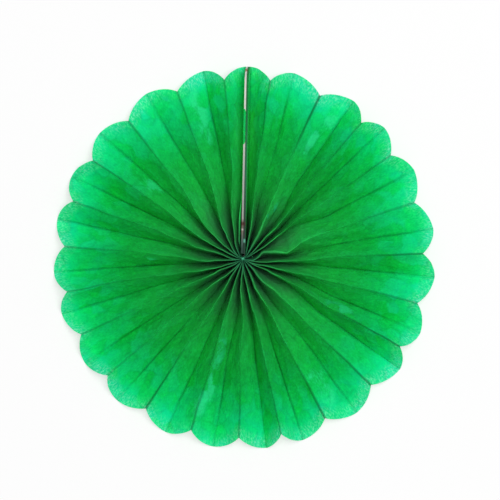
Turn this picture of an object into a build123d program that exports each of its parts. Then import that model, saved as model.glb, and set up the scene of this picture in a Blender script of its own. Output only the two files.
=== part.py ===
from build123d import *
import math
import os

# A pleated tissue rosette, opened to a full turn and lying on its back folds.
# Z is the rosette's axis and Z = 0 the plane of the back folds. The seam points along +Y.

# Opening of each pleat in degrees, from one back fold to the next, clockwise from the seam.
# The list is brought to a full turn, so it may hold any number of pleats.
PLEATS = [
    13.5, 19.5, 12.5, 15.5, 18.5, 14.5, 17.5, 12.5, 18.5, 18.0, 11.5, 16.0,
    15.0, 17.5, 15.0, 16.0, 13.0, 16.0, 13.5, 15.5, 18.5, 18.5, 13.0,
]

# Driving dimensions in mm.
TIP_RADIUS = 125.0
SCALLOP_DEPTH = 8.0
LOWEST_RIDGE = 6.8
INNER_RADIUS = 1.0
TISSUE = 0.2
CARD = 1.2
TAPE = 0.2
TAPE_WIDTH = 12.0
THREAD = 0.5
NEEDLE_HOLE = 0.8
WRAP_START = 74.0
WRAP_LENGTH = 24.0

# Sizes that follow from them.
TURN = 360.0 / sum(PLEATS)
CUSP_RADIUS = TIP_RADIUS - SCALLOP_DEPTH
WIDEST = math.radians(max(PLEATS) * TURN)
PANEL = math.hypot(2 * CUSP_RADIUS * math.sin(WIDEST / 4), LOWEST_RIDGE)
SEAM = TAPE / 2 + CARD
CARD_START = 2.5 * SEAM
THREAD_RING = CARD_START + 5 * THREAD
RADII = [CARD_START + (CUSP_RADIUS - CARD_START) * (i / 8) ** 1.5 for i in range(9)]


# Point at a clockwise angle from the seam, whose thickness pushes the pleats aside.
def spot(angle, r, z):
    half = math.degrees(math.asin((SEAM + TISSUE) / max(r, CARD_START)))
    a = math.radians(half + angle * (360 - 2 * half) / 360)
    return (r * math.sin(a), r * math.cos(a), z)


# Height of a ridge: the panels keep their width, so a pleat sinks as it opens outwards.
def ridge(opening, r):
    chord = 2 * r * math.sin(math.radians(opening / 4))
    return math.sqrt(PANEL**2 - chord**2)


# Thickness of the tissue along the axis, which grows as the panels stand up towards the centre.
# In the fold beside a card, where one wall stands upright, it is that of two layers.
def lift(r, layers=1):
    chord = 2 * r * math.sin(math.pi / (2 * len(PLEATS)))
    return PANEL * layers * TISSUE / (chord + layers * TISSUE)


# A fold line in two stretches: straight in the gathered centre, then out to the notch radius.
def fold(point):
    return [Line(point(INNER_RADIUS), point(CARD_START)), Spline([point(r) for r in RADII])]


# Back fold beside the seam, at a distance from the seam's middle plane.
def seam_fold(x, height):
    near = (x * INNER_RADIUS / CARD_START, INNER_RADIUS, height(INNER_RADIUS))
    line = [(x, r, height(r)) for r in RADII]
    return [Line(near, line[0]), Spline(line)]


# The rest of a back fold, from the notch radius to the petal's tip.
def tip_line(stretches):
    way = stretches[1] % 1
    return Line(stretches[1] @ 1, (stretches[1] @ 1) + Vector(way.X, way.Y, 0).normalized() * SCALLOP_DEPTH)


# Edge that the die leaves on a panel: square to the back fold at the tip, running to the notch.
def die_edge(tip, notch):
    way = (tip % 0).normalized()
    across = notch - (tip @ 0)
    return TangentArc(tip @ 1, notch, tangent=across - way * across.dot(way))


# Fold lines around the sheet, on its under and its upper side: back folds at the petals' tips,
# front ridges at the notches between them.
under = [seam_fold(SEAM, lambda r: 0)]
over = [seam_fold(SEAM + TISSUE, lambda r: lift(r, 2))]
middles = []
angle = 0.0
for opening in PLEATS:
    turn = opening * TURN
    top = angle + turn / 2
    middles += [angle + turn / 4, top + turn / 4]
    angle += turn
    under.append(fold(lambda r: spot(top, r, ridge(turn, r) - lift(r))))
    over.append(fold(lambda r: spot(top, r, ridge(turn, r))))
    under.append(fold(lambda r: spot(angle, r, 0)))
    over.append(fold(lambda r: spot(angle, r, lift(r))))
under[-1] = seam_fold(-SEAM, lambda r: 0)
over[-1] = seam_fold(-SEAM - TISSUE, lambda r: lift(r, 2))

# Panels: two stretches between neighbouring folds, then the flat corner that the die has rounded.
faces = []
for i in range(len(under) - 1):
    back = i + i % 2
    front = i + 1 - i % 2
    rim = []
    for side in (under, over):
        for k in (0, 1):
            faces.append(Face.make_surface_from_curves(side[i][k], side[i + 1][k]))
        tip = tip_line(side[back])
        rim.append(die_edge(tip, side[front][1] @ 1))
        faces.append(Face(Wire([tip, rim[-1], Line(side[front][1] @ 1, tip @ 0)])))
    faces.append(Face.make_surface_from_curves(rim[0], rim[1]))
    inner = [Line(side[i][0] @ 0, side[i + 1][0] @ 0) for side in (under, over)]
    faces.append(Face.make_surface_from_curves(inner[0], inner[1]))

# The last panel at each end of the sheet, standing on the seam's back fold against its card.
for at in (0, -1):
    edges = []
    for side in (under, over):
        start = side[at][1] @ 0
        tip = tip_line(side[at])
        die = die_edge(tip, Vector(start.X, CUSP_RADIUS, PANEL))
        top = Line(die @ 1, (start.X, CARD_START, PANEL))
        edges.append([die, top, Line(top @ 1, start)])
        faces.append(Face(Wire([side[at][1], tip] + edges[-1])))
    for a, b in zip(edges[0], edges[1]):
        faces.append(Face.make_surface_from_curves(a, b))
    faces.append(Face.make_surface_from_curves(under[at][0], over[at][0]))
sheet = Solid(Shell(faces))

# A stretch of tissue that turns over the left card's front edge.
wrap = Box(CARD + TISSUE, WRAP_LENGTH, TISSUE, align=(Align.MIN, Align.MIN, Align.MIN))
sheet = sheet + Pos(-SEAM - TISSUE, WRAP_START, PANEL) * wrap

# The thread that gathers the pleats at the centre, and the needle holes it runs in: one half way
# up each panel, and one straight through the seam.
thread = Pos(0, 0, PANEL / 2) * Torus(THREAD_RING, THREAD / 2)
needle = Rot(0, 90, 0) * Cylinder(NEEDLE_HOLE / 2, math.pi * THREAD_RING / len(middles))
seam_needle = Rot(0, 90, 0) * Cylinder(NEEDLE_HOLE / 2, 2 * (SEAM + 2 * TISSUE))
bow = THREAD_RING - math.sqrt(THREAD_RING**2 - (SEAM + TISSUE) ** 2)
seam_hole = Pos(0, THREAD_RING - bow / 2, PANEL / 2) * seam_needle
holes = [seam_hole]
for middle in middles:
    place = Vector(spot(middle, THREAD_RING, PANEL / 2))
    way = math.degrees(math.atan2(place.X, place.Y))
    holes.append(Pos(place) * Rot(0, 0, -way) * needle)
sheet = sheet - holes


# An end card has the shape of one panel and stands on its back edge, its face at x.
def end_card(x):
    foot = Line((x, CARD_START, 0), (x, TIP_RADIUS, 0))
    die = die_edge(Line((x, CUSP_RADIUS, 0), (x, TIP_RADIUS, 0)), Vector(x, CUSP_RADIUS, PANEL))
    top = Line((x, CUSP_RADIUS, PANEL), (x, CARD_START, PANEL))
    inner = Line((x, CARD_START, PANEL), (x, CARD_START, 0))
    return extrude(Face(Wire([foot, die, top, inner])), CARD, dir=(1, 0, 0)) - seam_hole


# The two cards face each other across the seam, with the tape between them.
left_card = end_card(-SEAM)
right_card = end_card(TAPE / 2)
tape_start = THREAD_RING + TAPE_WIDTH
tape_end = CUSP_RADIUS - TAPE_WIDTH
tape = Box(TAPE, tape_end - tape_start, TAPE_WIDTH)
tape = Pos(0, (tape_start + tape_end) / 2, PANEL / 2) * tape

os.makedirs("parts", exist_ok=True)
export_step(sheet, "parts/tissue_pleats.step")
export_step(left_card, "parts/left_end_card.step")
export_step(right_card, "parts/right_end_card.step")
export_step(tape, "parts/seam_tape.step")
export_step(thread, "parts/centre_thread.step")
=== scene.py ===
import math
import bpy
from mathutils import Matrix, Vector, noise


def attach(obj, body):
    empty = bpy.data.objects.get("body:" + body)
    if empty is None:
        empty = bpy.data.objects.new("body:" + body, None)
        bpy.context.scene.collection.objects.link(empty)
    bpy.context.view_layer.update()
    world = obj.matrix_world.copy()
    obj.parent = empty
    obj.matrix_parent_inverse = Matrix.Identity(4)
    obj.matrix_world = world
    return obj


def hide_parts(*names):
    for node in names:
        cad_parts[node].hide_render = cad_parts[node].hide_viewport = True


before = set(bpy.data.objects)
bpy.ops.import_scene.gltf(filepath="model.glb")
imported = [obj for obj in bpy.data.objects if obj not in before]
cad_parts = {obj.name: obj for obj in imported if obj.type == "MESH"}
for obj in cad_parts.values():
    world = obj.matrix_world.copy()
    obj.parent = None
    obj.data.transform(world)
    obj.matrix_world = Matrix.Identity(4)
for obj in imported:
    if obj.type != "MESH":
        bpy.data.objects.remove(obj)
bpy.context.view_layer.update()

# Pleated tissue.
# One long strip of dyed tissue paper, folded to and fro into panels of one width and die-cut along
# one edge. Opened to a full turn, it stands upright at the centre and spreads towards the rim.

# Opening of each pleat, from one back fold to the next, clockwise from the seam.
pleat_degrees = [
    13.5, 19.5, 12.5, 15.5, 18.5, 14.5, 17.5, 12.5, 18.5, 18.0, 11.5, 16.0,
    15.0, 17.5, 15.0, 16.0, 13.0, 16.0, 13.5, 15.5, 18.5, 18.5, 13.0,
]
pleats = [math.radians(o * 360 / sum(pleat_degrees)) for o in pleat_degrees]
inner_mm = 0.1
notch_mm = 117.0
scallop_mm = 8.0
lowest_ridge_mm = 6.8
paper_mm = 0.05
tip_m = (notch_mm + scallop_mm) / 1000
panel_mm = math.hypot(2 * notch_mm * math.sin(max(pleats) / 4), lowest_ridge_mm)
die_mm = (panel_mm ** 2 + scallop_mm ** 2) / (2 * scallop_mm)
# Distance of the paper from the seam's middle plane, beside the cards and inside their inner ends.
beside_mm = 1.4
closed_mm = 0.03
card_start_mm = 3.25
# Lowest height of the paper above the table.
lowest_mm = 0.03
# Columns of points over a panel as shares of its width, denser at its folds, and rows along it.
across = [0, .012, .06, .15, .28, .43, .58, .73, .86, .94, .958, .972, .986, 1]
rows = 74
near_rows = [inner_mm, .8, 1.6, 2.5, card_start_mm - .05]
# Noise is read this far apart per radian, so that each fold wavers in its own way.
apart = 900

# The thread pulls the ridges askew near the centre. For each ridge, its lean in degrees clockwise
# at the first five radii in millimetres; at the last radius it has faded out.
lean_radii = [6.5, 13, 20, 29, 39, 60]
ridge_leans = [
    (4, 3.5, 2.7, 1.2, .3), (5, 4.5, 3.5, 2, 1.5), (7, 5.5, 4.5, 4.5, 3), (3.5, 3.3, 2, .5, -1.5),
    (23, -2.5, 3, 10, 1.5), (12, 8, 5.4, 3.7, 2.7), (8, 3, 1.4, .4, 0), (-1, -4, -3.6, -3.6, -3),
    (-1.6, 3.4, 3.4, .4, -.6), (1, 2, 2.6, 1, 0), (10, 5, 3.3, 2.5, 0), (-.5, 2, 1.5, 0, -2),
    (1, 1, 1, 1, .5), (1, 1, 0, -1.7, -1.2), (-7.5, -4.5, -.5, .5, .5), (-5, -2, -1.5, -1, 0),
    (-10.6, -7, -5.6, -5, -2), (-6, -6, -6, -4.6, -2), (-14, -5, -4.8, -4.5, -1.8),
    (-9, -9, -7.4, -6, -4), (-13, -11.4, -10.4, -9, -5), (-21, -13, -9.4, -7, -3),
    (-18, -12.7, -9.2, -5.7, -3.2),
]
# The same for the back folds between them, at one radius only, and where it has faded out.
back_leans = [
    -1.7, 5, 1.7, -4.8, 5, 0, -4, -5, 4, 0, 0, -2.5, -.5, -1, 0, -2.6, -2, -2.6, -2.6, -3, -2.7, -4,
]
back_lean_mm = 29
back_straight_mm = 62
# Ridges that were crushed blunt, with how much wider their tops are.
blunt_ridges = {1: 2.2, 4: 3.0, 8: 1.8, 9: 1.6}


# Soft noise from -1 to 1 at a place given in millimetres.
def ripple(x, y, z, size):
    return noise.noise(Vector((x / size, y / size, z / size)))


# Eases from 0 to 1 between two limits.
def ease(low_in_groove, high, value):
    t = min(max((value - low_in_groove) / (high - low_in_groove), 0), 1)
    return t * t * (3 - 2 * t)


# Reach of the die's arc beyond the notches, at a share of the panel's width from the back fold.
def die_reach(share):
    return scallop_mm - die_mm + math.sqrt(die_mm ** 2 - (share * panel_mm) ** 2)


# Radii of a column's points: a few up to the cards' inner ends, then ever longer steps to the edge.
def column_radii(end):
    steps = rows - len(near_rows)
    length = end - card_start_mm
    return near_rows + [card_start_mm + length * (i / steps) ** 1.1 for i in range(steps + 1)]


# Half width of a pleat in plan, and the height of its ridge.
def spread(opening, r):
    return 2 * r * math.sin(opening / 4)


def ridge_height(opening, r):
    inside = min(r, notch_mm)
    height = math.sqrt(panel_mm ** 2 - spread(opening, inside) ** 2)
    return height - spread(opening, inside) ** 2 / inside / height * (r - inside)


# Lean of a ridge at a radius, in degrees.
def ridge_lean(n, r):
    leans = ridge_leans[n] + (0,)
    if r >= lean_radii[-1]:
        return 0
    inside = max(r, lean_radii[0])
    k = max(i for i in range(len(lean_radii) - 1) if lean_radii[i] <= inside)
    t = (inside - lean_radii[k]) / (lean_radii[k + 1] - lean_radii[k])
    return leans[k] + (leans[k + 1] - leans[k]) * t


# Lean of the back fold that follows a ridge: it goes half the way with its neighbours.
def back_lean(n, r):
    change = sum(ridge_lean(m, r) - ridge_lean(m, back_lean_mm) for m in (n, n + 1)) / 2
    return (back_leans[n] + .5 * change) * (1 - ease(back_lean_mm, back_straight_mm, r))


# Place of a fold in plan, pushed aside by the cards' thickness, with hand-opened paper's waver.
def fold_place(angle, r, lean, waver):
    push = math.asin(beside_mm / max(r, card_start_mm))
    a = push + angle * (1 - push / math.pi) + math.radians(lean) + waver / max(r, 4)
    return Vector((r * math.sin(a), r * math.cos(a), 0))


# Place beside the seam, to the right of it for a positive side and to the left for a negative one.
def seam_place(side, r, z):
    return Vector((math.copysign(beside_mm if r >= card_start_mm else closed_mm, side), r, z))


# How far a fold wavers in the inner part of the rosette, in millimetres.
def inner_waver(r):
    return min(.04 * r, .7) * (1 - .6 * ease(30, 75, r))


def back_place(n, angle, r):
    if n < 0 or n == len(pleats) - 1:
        return seam_place(-n, r, 0)
    waver = inner_waver(r) * ripple(r, angle * apart, 3, 15)
    waver += .9 * ease(40, 70, r) * ease(124, 104, r) * ripple(r, angle * apart, 61, 30)
    return fold_place(angle, r, back_lean(n, r), .7 * waver)


def ridge_place(n, angle, r):
    waver = inner_waver(r)
    waver *= ripple(r, angle * apart, 9, 11) + .5 * ripple(r, angle * apart, 44, 4.5)
    waver += .7 * ease(40, 70, r) * ease(116, 100, r) * ripple(r, angle * apart, 87, 26)
    return fold_place(angle, r, ridge_lean(n, r), waver)


# Facets where the paper was crumpled and its dye is rubbed: angle from the seam in degrees, then
# the radius, half length and half width in millimetres.
facets = [
    (30.8, 105, 11, 4.5), (29, 88, 9, 2.5), (30, 36.6, 6, 1.5), (341.9, 104, 14, 5),
    (342, 87, 13, 3), (193.6, 85, 13, 3), (192.6, 63, 9, 3), (195.6, 102, 8, 4),
    (147.5, 91, 9, 5), (148.1, 104, 10, 6), (267.4, 63, 8, 2.5), (306.8, 76, 9, 3),
    (152.8, 62, 4, 1.5), (116, 71, 10, 3), (6.0, 112, 5, 3),
]
# Long second creases beside the folds: angle, inner and outer radius, height, half width.
creases = [
    (62, 22, 44, 1.0, .9), (66, 24, 48, .9, .8), (70, 30, 56, .8, .9), (75, 18, 40, .7, .8),
    (73, 32, 62, .9, .9), (79, 34, 66, .8, 1.0), (68, 44, 70, .7, .9), (146, 84, 116, .7, 1.0),
    (110, 70, 104, .5, .9), (209, 80, 112, .6, .9), (221, 64, 100, .5, .9), (317, 70, 108, .6, 1.0),
    (335, 62, 96, .5, .9), (20, 76, 110, .5, .9), (78, 78, 112, .5, .8), (98, 60, 92, .5, .9),
    (248, 66, 104, .5, .9), (279, 74, 110, .6, .9),
]
# Direction of the light: the panels that face it are drawn a bluer, paler green towards the rim,
# a painted highlight.
light_side = Vector((.19, .13, .97))
# Ridges with the darkest fold lines, partly pressed hardest and partly painted shade, by their
# angle from the seam in degrees.
darkest_ridges = [119, 135, 153, 213, 26, 83, 345]


# Way around the rosette from one angle in degrees to another, in millimetres at a radius.
def way_around(start, end, r):
    return math.radians((end - start + 180) % 360 - 180) * r


# How far a place lies inside a rubbed facet, from 0 to 1.
def rubbed(r, a):
    most = 0
    for angle, radius, length, width in facets:
        off = way_around(angle, a, r)
        most = max(most, 1.6 - math.hypot((r - radius) / length, off / width))
    return min(max(most, 0), 1)


# How far a second crease lifts the paper at a place.
def creased(r, a):
    lift = 0
    for angle, low_in_groove, high, height, width in creases:
        off = way_around(angle, a, r) / width
        if abs(off) < 4:
            shape = height * math.exp(-abs(off) ** 1.5)
            lift += shape * ease(low_in_groove, low_in_groove + 9, r) * ease(high, high - 12, r)
    return lift


# How dark a fold is drawn, as a share of the full mark: partly pressed fibres, partly painted shade
# in the fold. Some ridges are drawn darker.
def back_fold_darkening(angle, r):
    press = ease(34, 66, r) * (1 - .55 * ease(98, 120, r))
    return press * (.75 + .5 * ripple(angle * apart, r, 6, 24))


def ridge_fold_darkening(angle, r):
    degrees = math.degrees(angle)
    near = min(abs(degrees - hard) for hard in darkest_ridges)
    press = .6 + .4 * ease(7, 2, near) + .25 * ripple(degrees, 3, 8, 5)
    return ease(52, 104, r) * press


# Height of a ridge as it was opened by hand, and the radius of its rounded top. It has sunk at the
# centre and where it leans.
def crest_size(n, opening, angle, r):
    sunk = 1.1 * ease(1, 2.5, r) * (1 - ease(4, 10, r))
    sunk *= .8 + 1.6 * ripple(angle * apart, 5, 2, 7)
    height = ridge_height(opening, r) - sunk
    height -= math.radians(ridge_lean(n, r)) ** 2 * r * r / 60
    height += .5 * ripple(r, angle * apart, 31, 24) * ease(8, 30, r)
    roll = (.07 + .29 * (1 - ease(14, 40, r))) * blunt_ridges.get(n, 1)
    return height, min(roll, .3 * spread(opening, r) + .04)


# A panel's section: a straight wall that rolls over into the ridge's rounded top. Gives a point at
# a share of the way up from the back fold, the slope there and the slope of the wall.
def section(wide, height, roll, share):
    far = math.hypot(wide, height - roll)
    slope = math.atan2(height - roll, wide) + math.asin(roll / far)
    wall = math.sqrt(far * far - roll * roll)
    gone = share * (wall + roll * slope)
    if gone <= wall:
        return gone * math.cos(slope), gone * math.sin(slope), slope, slope
    tilt = slope - (gone - wall) / roll
    return wide - roll * math.sin(tilt), height - roll + roll * math.cos(tilt), tilt, slope


# How far the paper between the folds bows, buckles and crumples, in millimetres.
def relief(number, share, r):
    bow = .8 * ripple(number * 110, r, 5, 40)
    bow += .6 * ripple(number * 170 + share * 21, r * .4, 8, 9)
    buckle = .5 - 1.6 * abs(ripple(share * 21 + r * .5, r - share * 14, number * 93, 15))
    fine = ripple(share * 21 - r * .3, r + share * 9, number * 51, 6)
    return bow + .75 * buckle + .22 * fine


# Direction square to paper that rises at a slope along a level direction.
def square_to(level, slope):
    way = level * -math.sin(slope)
    way.z = math.cos(slope)
    return way


# One panel: columns from back fold to ridge, each running from the centre to the die's edge. Every
# point has its place, share of the panel's width, distance from the edge, radius and the marks on
# the paper there: rubbed; darkened at the back fold and at the ridge, partly pressed and partly
# painted shade; facing the light, painted light; brightened beside the cards, painted light.
def pleat_panel(number, opening, back_angle, ridge_angle):
    columns = []
    n, side = number // 2, 1 - number % 2 * 2
    for share in across:
        column = []
        end = notch_mm + die_reach(share)
        calm = math.sin(math.pi * share) ** .7
        for r in column_radii(end):
            back = back_place(n - 1 if side > 0 else n, back_angle, r)
            ridge = ridge_place(n, ridge_angle, r)
            middle = (back + ridge).normalized()
            out = Vector((middle.y, -middle.x, 0)) * side
            wide = (ridge - back).dot(out)
            skew = ridge - back - out * wide
            height, roll = crest_size(n, opening, ridge_angle, r)
            x, z, tilt, slope = section(wide, height, roll, share)
            p = back + out * x + skew * share
            p.z = z + (height - z) * ease(1.5, .7, r)
            a = math.degrees(math.atan2(p.x, p.y))
            worn = rubbed(r, a)
            lift = relief(number, share, r) + .4 * worn + creased(r, a)
            p += square_to(out, tilt) * min(1, .1 * spread(opening, r)) * calm * lift
            p.z += ease(14, 0, end - r) * share * .5 * ripple(p.x, p.y, 77, 9)
            p.z = max(p.z, lowest_mm)
            back_darkening = back_fold_darkening(back_angle, r)
            ridge_darkening = ridge_fold_darkening(ridge_angle, r)
            # Painted light: how far the panel faces the light.
            lit_share = min(max((square_to(out, slope).dot(light_side) - .65) / .3, -1), 1)
            # Painted light beside the cards, brightening the shaded groove there.
            seam_fill = 0
            if number in (0, 2 * len(pleats) - 1):
                seam_fill = ease(.9, .2, share) * ease(15, 40, r) * (1 - .7 * ease(75, 110, r))
            column.append((p, share, end - r, r, (worn, back_darkening, ridge_darkening, lit_share, seam_fill)))
        columns.append(column)
    return columns


# The last panel at each end of the strip, glued upright to the outer face of its card. The left one
# has come away from its card near the centre, where its front edge curls over.
curl_start = .94
curl_mm = .7
curl_angle = math.radians(85)


def glued_panel(side):
    columns = []
    for share in across:
        column = []
        end = notch_mm + die_reach(share)
        for i, r in enumerate(column_radii(end)):
            if share > 0 and r < card_start_mm:
                r = card_start_mm - .1 + .01 * i
            z = max(share * panel_mm, lowest_mm)
            p = seam_place(side, r, z)
            if side < 0:
                free = ease(4, 12, r) * ease(52, 24, r)
                curl = max(share - curl_start, 0) / (1 - curl_start) * curl_angle * free
                bend = curl_start * panel_mm
                rise = curl_mm * math.sin(curl) if free > .05 else max(z - bend, 0)
                p.x -= (1.1 * share ** 2 + curl_mm * (1 - math.cos(curl))) * free
                p.z = min(z, bend) + rise
            column.append((p, share, end - r, r, (0, .5, 0, -1, ease(15, 40, r))))
        columns.append(column)
    return columns


# The whole strip, from the panel on the right card around to the one on the left card.
strip = glued_panel(1)[::-1]
turned = 0.0
for n, opening in enumerate(pleats):
    middle = turned + opening / 2
    strip += pleat_panel(2 * n, opening, turned, middle)[1:]
    turned += opening
    strip += pleat_panel(2 * n + 1, opening, turned, middle)[-2::-1]
strip += glued_panel(-1)[1:]

points, faces, folds, flat_places, marked = [], [], [], [], []
for c, column in enumerate(strip):
    panel = c // (len(across) - 1)
    for place, share, edge_mm, r, marks in column:
        back_mm, ridge_mm = share * panel_mm, (1 - share) * panel_mm
        over_mm = back_mm if panel % 2 else ridge_mm
        points.append(place / 1000)
        folds.append((back_mm / 1000, ridge_mm / 1000, edge_mm / 1000))
        flat_places.append(((panel * panel_mm + over_mm) / 1000, r / 1000))
        marked.append(marks)
for c in range(len(strip) - 1):
    for i in range(rows):
        a = c * (rows + 1) + i
        faces.append((a, a + rows + 1, a + rows + 2, a + 1))

# A stretch of the strip's end turns over the left card's front edge.
wrap_start_mm, wrap_end_mm = 74.0, 98.0
wrap_steps, wrap_step_mm = 4, .3
wrap_gap_mm = .1
far_from_edge = .1
strip_panels = 2 * len(pleats) + 2
end_radii = [point[3] for point in strip[-1]]
wrapped = [i for i, r in enumerate(end_radii) if wrap_start_mm <= r <= wrap_end_mm]
edge = [(len(strip) - 1) * (rows + 1) + i for i in wrapped]
for step in range(1, wrap_steps + 1):
    row = []
    over_mm = step * wrap_step_mm
    for k, i in enumerate(wrapped):
        r = end_radii[i]
        taper = 1 if 0 < k < len(wrapped) - 1 else .55
        x = -beside_mm + step / wrap_steps * (beside_mm - wrap_gap_mm) * taper
        row.append(len(points))
        points.append(Vector((x, r, panel_mm + wrap_gap_mm + .04 * ripple(x * 8, r, 4, 5))) / 1000)
        folds.append(((panel_mm + over_mm) / 1000, over_mm / 1000, far_from_edge))
        flat_places.append(((strip_panels * panel_mm + over_mm) / 1000, r / 1000))
        marked.append((0, 0, 0, -1, 0))
    for k in range(len(row) - 1):
        faces.append((edge[k], row[k], row[k + 1], edge[k + 1]))
    edge = row

tissue_mesh = bpy.data.meshes.new("pleated_tissue")
tissue_mesh.from_pydata(points, [], faces)
for name, kind, field, values in (
    ("folds", "FLOAT_VECTOR", "vector", [v for f in folds for v in f]),
    ("wear", "FLOAT_VECTOR", "vector", [v for m in marked for v in m[:3]]),
    ("fade", "FLOAT", "value", [m[3] for m in marked]),
    ("glued", "FLOAT", "value", [m[4] for m in marked]),
):
    layer = tissue_mesh.attributes.new(name, kind, "POINT")
    layer.data.foreach_set(field, values)
strip_uv = tissue_mesh.uv_layers.new(name="strip")
for loop in tissue_mesh.loops:
    strip_uv.data[loop.index].uv = flat_places[loop.vertex_index]
tissue = bpy.data.objects.new("pleated_tissue", tissue_mesh)
bpy.context.collection.objects.link(tissue)
bpy.ops.object.select_all(action="DESELECT")
tissue.select_set(True)
bpy.context.view_layer.objects.active = tissue
thick = tissue.modifiers.new("paper", "SOLIDIFY")
thick.thickness = paper_mm / 1000
thick.offset = 0
bpy.ops.object.modifier_apply(modifier="paper")
bpy.ops.object.shade_smooth_by_angle(angle=math.radians(35))


# Linear colour from an sRGB hex value.
def dye(hex_value):
    parts = [int(hex_value[i:i + 2], 16) / 255 for i in (1, 3, 5)]
    return [v / 12.92 if v <= .04045 else ((v + .055) / 1.055) ** 2.4 for v in parts] + [1]


# An empty material for nodes.
def blank(name):
    material = bpy.data.materials.new(name)
    material.use_nodes = True
    material.node_tree.nodes.clear()
    return material


# Adds a shader node, sets its properties and fills or links its inputs.
def put(tree, kind, inputs=None, **settings):
    node = tree.nodes.new("ShaderNode" + kind)
    for name, value in settings.items():
        setattr(node, name, value)
    for name, value in (inputs or {}).items():
        socket = node.inputs[name]
        if isinstance(value, bpy.types.NodeSocket):
            tree.links.new(value, socket)
        else:
            socket.default_value = value
    return node


# Gives a colour ramp its colours, each with its share of the way; the first is at 0, the last at 1.
def set_stops(ramp, colours):
    stops = ramp.color_ramp.elements
    stops[0].color, stops[1].color = dye(colours[0][1]), dye(colours[-1][1])
    for share, hex_value in colours[1:-1]:
        stops.new(share).color = dye(hex_value)


# Dyed tissue paper: thin, matt and cloudy. The dye is uneven between the fibres, darker along the
# folds (partly pressed, partly painted shade) and rubbed pale along the die-cut edge. Light passes
# through.
paper = blank("dyed_tissue_paper")
t = paper.node_tree
flat = put(t, "UVMap", uv_map="strip").outputs["UV"]
from_centre = put(t, "SeparateXYZ", {"Vector": flat}).outputs["Y"]
fold_layer = put(t, "Attribute", attribute_name="folds").outputs["Vector"]
away = put(t, "SeparateXYZ", {"Vector": fold_layer}).outputs
from_back, from_ridge, from_edge = away["X"], away["Y"], away["Z"]
wear_layer = put(t, "Attribute", attribute_name="wear").outputs["Vector"]
wear = put(t, "SeparateXYZ", {"Vector": wear_layer}).outputs
rubbed_mark, back_dark_mark, ridge_dark_mark = wear["X"], wear["Y"], wear["Z"]

# The dye, from the gathered centre out to the rim. It is drawn darker towards the centre, painted
# shade of the deep folds, and paler mint at the rim, painted light through the paper.
reach = put(t, "MapRange", {"Value": from_centre, "From Min": 0.0, "From Max": tip_m})
dye_and_radial_shade = put(t, "ValToRGB", {"Fac": reach.outputs[0]})
set_stops(dye_and_radial_shade, (
    (0, "#5FDCAE"), (.012, "#3A9468"), (.1, "#349C50"), (.2, "#36C45C"), (.34, "#2CD860"),
    (.5, "#20D65C"), (.64, "#12D258"), (.78, "#06D850"), (.88, "#06E76A"), (.95, "#0AF086"),
    (1, "#1EF6A6"),
))

# Cloudy formation about 7 mm wide, and fibre streaks of about 1 by 2 mm along the folds. The
# streaks are drawn coarser than real fibres, to show at the picture's scale.
cloud = put(t, "TexNoise", {"Vector": flat, "Scale": 1 / .007, "Detail": 3.0, "Roughness": .6})
grain_map = put(t, "Mapping", {"Vector": flat, "Scale": (1 / .0011, 1 / .0021, 1)})
grain = put(t, "TexNoise", {
    "Vector": grain_map.outputs["Vector"], "Scale": 1.0, "Detail": 3.0, "Roughness": .65,
}).outputs["Fac"]
half_cloud = put(t, "Math", {0: cloud.outputs["Fac"], 1: .5}, operation="MULTIPLY")
formation = put(
    t, "Math", {0: grain, 1: .5, 2: half_cloud.outputs[0]}, operation="MULTIPLY_ADD",
).outputs[0]
uneven = put(t, "MapRange", {
    "Value": formation, "From Min": .3, "From Max": .7, "To Min": .78, "To Max": 1.18,
})
dyed = put(
    t, "Mix", {"Factor": 1.0, "A": dye_and_radial_shade.outputs["Color"], "B": uneven.outputs[0]},
    data_type="RGBA", blend_type="MULTIPLY",
)

# Deep in the gathered centre, low in the grooves between the close panels, the colour is drawn a
# greyer green: painted shade.
near_centre_share = put(t, "MapRange", {
    "Value": from_centre, "From Min": .05, "From Max": .012, "To Min": 0.0, "To Max": .6,
})
low_in_groove = put(t, "MapRange", {
    "Value": from_ridge, "From Min": .003, "From Max": .013, "To Min": 0.0, "To Max": 1.0,
})
groove_shade_share = put(t, "Math", {0: near_centre_share.outputs[0], 1: low_in_groove.outputs[0]}, operation="MULTIPLY")
groove_shaded = put(
    t, "Mix", {"Factor": groove_shade_share.outputs[0], "A": dyed.outputs["Result"], "B": dye("#5C7C70")},
    data_type="RGBA",
)

# Beside the cards the tissue is drawn a brighter green: painted light that fills the shade of the
# narrow groove there.
beside_card_mark = put(t, "Attribute", attribute_name="glued").outputs["Fac"]
beside_card_share = put(t, "Math", {0: beside_card_mark, 1: .7}, operation="MULTIPLY")
beside_card_lit = put(
    t, "Mix", {"Factor": beside_card_share.outputs[0], "A": groove_shaded.outputs["Result"], "B": dye("#46FF82")},
    data_type="RGBA",
)

# Crumples about 9 mm apart, bent by the cloudy formation. Each small facet between them has its own
# tone.
crumple_scale = 1 / .009
bend = put(
    t, "VectorMath", {0: cloud.outputs["Color"], 1: (.004, .004, 0)}, operation="MULTIPLY",
)
bent = put(t, "VectorMath", {0: flat, 1: bend.outputs[0]}, operation="ADD").outputs[0]
crumple = put(
    t, "TexVoronoi", {"Vector": bent, "Scale": crumple_scale}, feature="DISTANCE_TO_EDGE",
).outputs["Distance"]
cells = put(
    t, "TexVoronoi", {"Vector": bent, "Scale": crumple_scale, "Smoothness": .35},
    feature="SMOOTH_F1",
)
cell = put(t, "SeparateColor", {"Color": cells.outputs["Color"]}).outputs["Red"]
fleck = put(t, "Math", {0: cell, 1: .3, 2: grain}, operation="MULTIPLY_ADD").outputs[0]
mint = put(t, "MapRange", {
    "Value": fleck, "From Min": .55, "From Max": .95, "To Min": 0.0, "To Max": .26,
})
outer = put(t, "MapRange", {
    "Value": from_centre, "From Min": .03, "From Max": .1, "To Min": .3, "To Max": 1.15,
})
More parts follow.
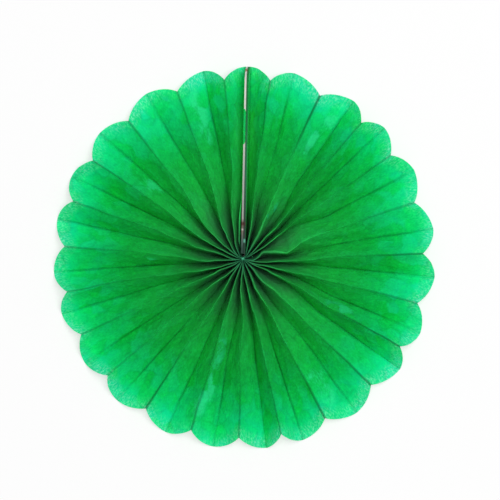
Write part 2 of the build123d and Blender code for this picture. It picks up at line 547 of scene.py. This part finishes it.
minted = put(t, "Math", {0: mint.outputs[0], 1: outer.outputs[0]}, operation="MULTIPLY")
mottled = put(
    t, "Mix", {"Factor": minted.outputs[0], "A": beside_card_lit.outputs["Result"], "B": dye("#30EDAC")},
    data_type="RGBA",
)

# Towards the rim the dye has faded to a bluer green, in blotches that drift over about 25 mm; the
# panels that face the light get more of it, which is painted light.
drift = put(t, "TexNoise", {"Vector": flat, "Scale": 1 / .025, "Detail": 1.0}).outputs["Fac"]
blotch = put(t, "Math", {0: cell, 1: .4, 2: drift}, operation="MULTIPLY_ADD")
blotches = put(t, "MapRange", {
    "Value": blotch.outputs[0], "From Min": .45, "From Max": .95, "To Min": 0.0, "To Max": .5,
})
light_facing_mark = put(t, "Attribute", attribute_name="fade").outputs["Fac"]
facing = put(t, "MapRange", {
    "Value": light_facing_mark, "From Min": -.9, "From Max": 1.0, "To Min": 0.0, "To Max": .22,
})
lit_and_faded = put(t, "Math", {0: facing.outputs[0], 1: blotches.outputs[0]}, operation="ADD")
rimward = put(t, "MapRange", {
    "Value": from_centre, "From Min": .075, "From Max": .118, "To Min": 0.0, "To Max": 1.0,
})
bluer = put(t, "Math", {0: lit_and_faded.outputs[0], 1: rimward.outputs[0]}, operation="MULTIPLY")
faded_and_lit = put(
    t, "Mix", {"Factor": bluer.outputs[0], "A": mottled.outputs["Result"], "B": dye("#08ECC4")},
    data_type="RGBA",
)

# Rubbed facets and the worn rim, where bare fibres show as short pale dashes. Some petals are worn
# more than others.
ragged = put(t, "Math", {0: cell, 1: .6, 2: fleck}, operation="MULTIPLY_ADD")
patchy = put(t, "Math", {0: ragged.outputs[0], 1: rubbed_mark}, operation="MULTIPLY")
facet = put(t, "MapRange", {
    "Value": patchy.outputs[0], "From Min": .55, "From Max": 1.1, "To Min": 0.0, "To Max": .66,
})
worn = put(
    t, "Mix", {"Factor": facet.outputs[0], "A": faded_and_lit.outputs["Result"], "B": dye("#38F2AE")},
    data_type="RGBA",
)
rim = put(t, "MapRange", {
    "Value": from_edge, "From Min": .01, "From Max": .0005, "To Min": 0.0, "To Max": 1.0,
})
dash = put(t, "MapRange", {
    "Value": grain, "From Min": .46, "From Max": .68, "To Min": .03, "To Max": .7,
})
drifted = put(t, "MapRange", {
    "Value": drift, "From Min": .35, "From Max": .65, "To Min": .25, "To Max": 1.6,
})
dashes = put(t, "Math", {0: rim.outputs[0], 1: dash.outputs[0]}, operation="MULTIPLY")
bare = put(
    t, "Math", {0: dashes.outputs[0], 1: drifted.outputs[0]}, operation="MULTIPLY", use_clamp=True,
)
pale = put(
    t, "Mix", {"Factor": bare.outputs[0], "A": worn.outputs["Result"], "B": dye("#A2F8DC")},
    data_type="RGBA",
)

# Short dark lines along the crumple creases, here and there at the edges of the small facets:
# painted shade.
broken = put(t, "TexNoise", {"Vector": flat, "Scale": 1 / .013, "Detail": 2.0})
here = put(t, "MapRange", {
    "Value": broken.outputs["Fac"], "From Min": .45, "From Max": .62, "To Min": 0.0, "To Max": .13,
})
edge_near = put(
    t, "MapRange",
    {"Value": crumple, "From Min": .14, "From Max": .0, "To Min": 0.0, "To Max": 1.0},
    interpolation_type="SMOOTHSTEP",
)
crease_shade = put(t, "Math", {0: here.outputs[0], 1: edge_near.outputs[0]}, operation="MULTIPLY")
crease_shaded = put(
    t, "Mix", {"Factor": crease_shade.outputs[0], "A": pale.outputs["Result"], "B": dye("#0A8038")},
    data_type="RGBA",
)

# Dark lines along the folds: partly packed fibres that let less light through, partly painted shade
# in the folds.
back_near = put(
    t, "MapRange",
    {"Value": from_back, "From Min": .0022, "From Max": .0, "To Min": 0.0, "To Max": .46},
    interpolation_type="SMOOTHSTEP",
)
ridge_near = put(
    t, "MapRange",
    {"Value": from_ridge, "From Min": .0016, "From Max": .0, "To Min": 0.0, "To Max": .7},
    interpolation_type="SMOOTHSTEP",
)
back_line = put(t, "Math", {0: back_near.outputs[0], 1: back_dark_mark}, operation="MULTIPLY")
ridge_line = put(t, "Math", {0: ridge_near.outputs[0], 1: ridge_dark_mark}, operation="MULTIPLY")
pressed_and_shaded = put(t, "Math", {0: back_line.outputs[0], 1: ridge_line.outputs[0]}, operation="MAXIMUM")
colour = put(
    t, "Mix", {"Factor": pressed_and_shaded.outputs[0], "A": crease_shaded.outputs["Result"], "B": dye("#067028")},
    data_type="RGBA",
).outputs["Result"]

# Crumples stand up along their lines, and cross wrinkles of about 11 by 3 mm where a facet was
# crumpled.
crest = put(t, "MapRange", {
    "Value": crumple, "From Min": 0.0, "From Max": .25, "To Min": .7, "To Max": 0.0,
})
wrinkle_map = put(t, "Mapping", {"Vector": bent, "Scale": (1 / .011, 1 / .0032, 1)})
wrinkle = put(t, "TexNoise", {"Vector": wrinkle_map.outputs["Vector"], "Scale": 1.0, "Detail": 2.0})
wrinkled = put(t, "Math", {0: wrinkle.outputs["Fac"], 1: rubbed_mark}, operation="MULTIPLY")
crests = put(
    t, "Math", {0: wrinkled.outputs[0], 1: 3.0, 2: crest.outputs[0]}, operation="MULTIPLY_ADD",
)
height = put(t, "Math", {0: formation, 1: crests.outputs[0]}, operation="ADD")
bump = put(t, "Bump", {"Height": height.outputs[0], "Strength": .6, "Distance": .0005})
front = put(t, "BsdfPrincipled", {
    "Base Color": colour, "Roughness": .8, "Specular IOR Level": .12,
    "Normal": bump.outputs["Normal"],
})
through = put(t, "BsdfTranslucent", {"Color": colour, "Normal": bump.outputs["Normal"]})
sheet = put(t, "MixShader", {"Fac": .4, 1: front.outputs[0], 2: through.outputs[0]})
put(t, "OutputMaterial", {"Surface": sheet.outputs[0]})
tissue.data.materials.append(paper)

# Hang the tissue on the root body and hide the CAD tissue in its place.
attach(tissue, "root")
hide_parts("tissue_pleats")

# End cards.
# Two strips of greyboard with the shape of one panel, one glued to each end of the tissue. They
# stand on edge at the seam and show their cut front edges, stained and dirty in places.

# Shares of the way from the centre to the tip, with the board's colour there. The right card is
# drawn a darker green-grey all along: painted shade.
board_colours = {
    "left_end_card": (
        (0, "#23382F"), (.05, "#2C443A"), (.09, "#4A5F58"), (.12, "#5F615A"), (.14, "#6E6259"),
        (.19, "#6E6259"), (.21, "#9A9893"), (.3, "#9A9C97"), (.5, "#B0B1AC"), (.75, "#CFCDC7"),
        (1, "#D2CEC8"),
    ),
    # Painted shade: darker and greener than the left card.
    "right_end_card": (
        (0, "#1E3A2E"), (.13, "#2A3C32"), (.2, "#2C4036"), (.3, "#2C5642"), (.5, "#2A6A48"),
        (.72, "#1E6E40"), (.8, "#147038"), (1, "#107A3A"),
    ),
}
# Spots on the front edges: millimetres from the centre, half length, colour.
board_spots = {
    "left_end_card": ((122.6, 1.3, "#8A5A38"), (22.6, 1.4, "#4A2622"), (18.8, .8, "#B9B0AA")),
    "right_end_card": ((22.4, 1.8, "#3C2A26"), (11.5, 1.6, "#5FA58C")),
}


# Gives a CAD node its material.
def clothe(name, material):
    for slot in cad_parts[name].material_slots:
        slot.material = material


for name, colours in board_colours.items():
    board = blank("greyboard_" + name.split("_")[0])
    t = board.node_tree
    place = put(t, "TexCoord").outputs["Object"]
    along = put(t, "SeparateXYZ", {"Vector": place}).outputs["Y"]
    reach = put(t, "MapRange", {"Value": along, "From Min": 0.0, "From Max": tip_m})
    tone = put(t, "ValToRGB", {"Fac": reach.outputs[0]})
    set_stops(tone, colours)
    # Fibre bundles of about 0.4 by 2 mm in the cut edge, drawn coarser than the real fibres.
    fibre_map = put(t, "Mapping", {"Vector": place, "Scale": (1 / .0004, 1 / .002, 1 / .002)})
    fibre = put(t, "TexNoise", {
        "Vector": fibre_map.outputs["Vector"], "Scale": 1.0, "Detail": 4.0,
    }).outputs["Fac"]
    speckle = put(t, "MapRange", {
        "Value": fibre, "From Min": .3, "From Max": .7, "To Min": .8, "To Max": 1.15,
    })
    surface = put(
        t, "Mix", {"Factor": 1.0, "A": tone.outputs["Color"], "B": speckle.outputs[0]},
        data_type="RGBA", blend_type="MULTIPLY",
    )
    # Each spot is full over the middle 40% of its length and fades out to its ends.
    for centre, length, hex_value in board_spots[name]:
        off = put(t, "Math", {0: along, 1: centre / 1000}, operation="SUBTRACT")
        how_far = put(t, "Math", {0: off.outputs[0]}, operation="ABSOLUTE")
        spot = put(t, "MapRange", {
            "Value": how_far.outputs[0], "From Min": length / 1000, "From Max": length / 2500,
            "To Min": 0.0, "To Max": .85,
        })
        surface = put(
            t, "Mix",
            {"Factor": spot.outputs[0], "A": surface.outputs["Result"], "B": dye(hex_value)},
            data_type="RGBA",
        )
    board_bump = put(t, "Bump", {"Height": fibre, "Strength": .4, "Distance": .0002})
    card = put(t, "BsdfPrincipled", {
        "Base Color": surface.outputs["Result"], "Roughness": .9, "Specular IOR Level": .2,
        "Normal": board_bump.outputs["Normal"],
    })
    put(t, "OutputMaterial", {"Surface": card.outputs[0]})
    clothe(name, board)

# Seam tape.
# Double-sided tape between the two cards, which closes the ring. Only its cut edges can be seen,
# deep in the gap between the cards.
tape = blank("double_sided_tape")
t = tape.node_tree
place = put(t, "TexCoord").outputs["Object"]
# The fibre web of about 1.5 mm is drawn coarser than the real one.
web = put(t, "TexNoise", {"Vector": place, "Scale": 1 / .0015, "Detail": 3.0})
creams = put(t, "ValToRGB", {"Fac": web.outputs["Fac"]})
set_stops(creams, ((0, "#CFC6AA"), (1, "#F0EAD6")))
adhesive = put(t, "BsdfPrincipled", {"Base Color": creams.outputs["Color"], "Roughness": .5})
put(t, "OutputMaterial", {"Surface": adhesive.outputs[0]})
clothe("seam_tape", tape)

# Centre thread.
# Cotton thread through the inner end of every panel, pulled tight and closed to a ring. It is
# twisted from plies that show as slanting bands about 0.4 mm apart.
cotton = blank("green_cotton_thread")
t = cotton.node_tree
place = put(t, "TexCoord").outputs["Object"]
ply = put(
    t, "TexWave", {"Vector": place, "Scale": 1 / .0012, "Distortion": 2.0},
    bands_direction="DIAGONAL",
).outputs["Fac"]
# The bands are drawn darker in the grooves between the plies: painted shade.
ply_shade_greens = put(t, "ValToRGB", {"Fac": ply})
set_stops(ply_shade_greens, ((0, "#1B6B3E"), (1, "#2F9A5E")))
ply_bump = put(t, "Bump", {"Height": ply, "Strength": .6, "Distance": .0001})
yarn = put(t, "BsdfPrincipled", {
    "Base Color": ply_shade_greens.outputs["Color"], "Roughness": .85, "Normal": ply_bump.outputs["Normal"],
})
put(t, "OutputMaterial", {"Surface": yarn.outputs[0]})
clothe("centre_thread", cotton)

# Table, light and camera.
# The rosette lies on a white table under a soft overhead light, seen from almost straight above.
table_size = 6
table_drop = .0002
table_glow = .6
bpy.ops.mesh.primitive_plane_add(size=table_size, location=(0, 0, -table_drop))
table = bpy.context.object
table.name = "table"


# 1 on what the camera sees straight or through a reflection, and 0 for all other light.
def seen_directly(tree):
    ray = put(tree, "LightPath").outputs
    reflected = put(
        tree, "Math", {0: ray["Is Glossy Ray"], 1: ray["Is Transmission Ray"]}, operation="MAXIMUM",
    )
    direct = put(
        tree, "Math", {0: ray["Is Camera Ray"], 1: reflected.outputs[0]}, operation="MAXIMUM",
    )
    return direct.outputs[0]


white = blank("white_table")
t = white.node_tree
top_coat = put(t, "BsdfDiffuse", {"Color": dye("#F4F4F4")})
glow = put(t, "Emission", {"Color": (1, 1, 1, 1)})
glowing = put(t, "Math", {0: seen_directly(t), 1: table_glow}, operation="MULTIPLY")
plain = put(
    t, "MixShader", {"Fac": glowing.outputs[0], 1: top_coat.outputs[0], 2: glow.outputs[0]},
)
put(t, "OutputMaterial", {"Surface": plain.outputs[0]})
table.data.materials.append(white)

# A white room, bright to the camera and dim as a light.
world = bpy.data.worlds.new("studio")
bpy.context.scene.world = world
world.use_nodes = True
t = world.node_tree
t.nodes.clear()
level = put(t, "MapRange", {"Value": seen_directly(t), "To Min": .3, "To Max": 1.0})
sky = put(t, "Background", {"Color": (1, 1, 1, 1), "Strength": level.outputs[0]})
put(t, "OutputWorld", {"Surface": sky.outputs[0]})

lamp_data = bpy.data.lights.new("softbox", "AREA")
lamp_data.shape = "SQUARE"
lamp_data.size = 2.5
lamp_data.energy = 178
lamp = bpy.data.objects.new("softbox", lamp_data)
bpy.context.collection.objects.link(lamp)
lamp.location = (.85, .6, 4.4)
lamp.rotation_euler = (-lamp.location).to_track_quat("-Z", "Y").to_euler()

# The camera stands a little to the right and above, turned a little, and sees this width of table.
camera_right, camera_above, camera_roll = (math.radians(v) for v in (2.4, .9, 1.2))
distance = 4.0
picture_width = .3268
aim = Vector((.00363, .00529, 0))
camera_data = bpy.data.cameras.new("camera")
camera = bpy.data.objects.new("camera", camera_data)
bpy.context.collection.objects.link(camera)
toward = Vector((math.sin(camera_right), math.sin(camera_above), 1)).normalized()
camera.location = toward * distance
camera_data.sensor_width = 36
camera_data.lens = camera_data.sensor_width * distance / picture_width
look = (aim - camera.location).normalized()
up = Vector((-math.sin(camera_roll), math.cos(camera_roll), 0))
right = look.cross(up).normalized()
up = right.cross(look)
turn = [[right[i], up[i], -look[i]] for i in range(3)]
camera.rotation_mode = "QUATERNION"
camera.rotation_quaternion = Matrix(turn).to_quaternion()
bpy.context.scene.camera = camera
bpy.context.scene.view_settings.view_transform = "Standard"
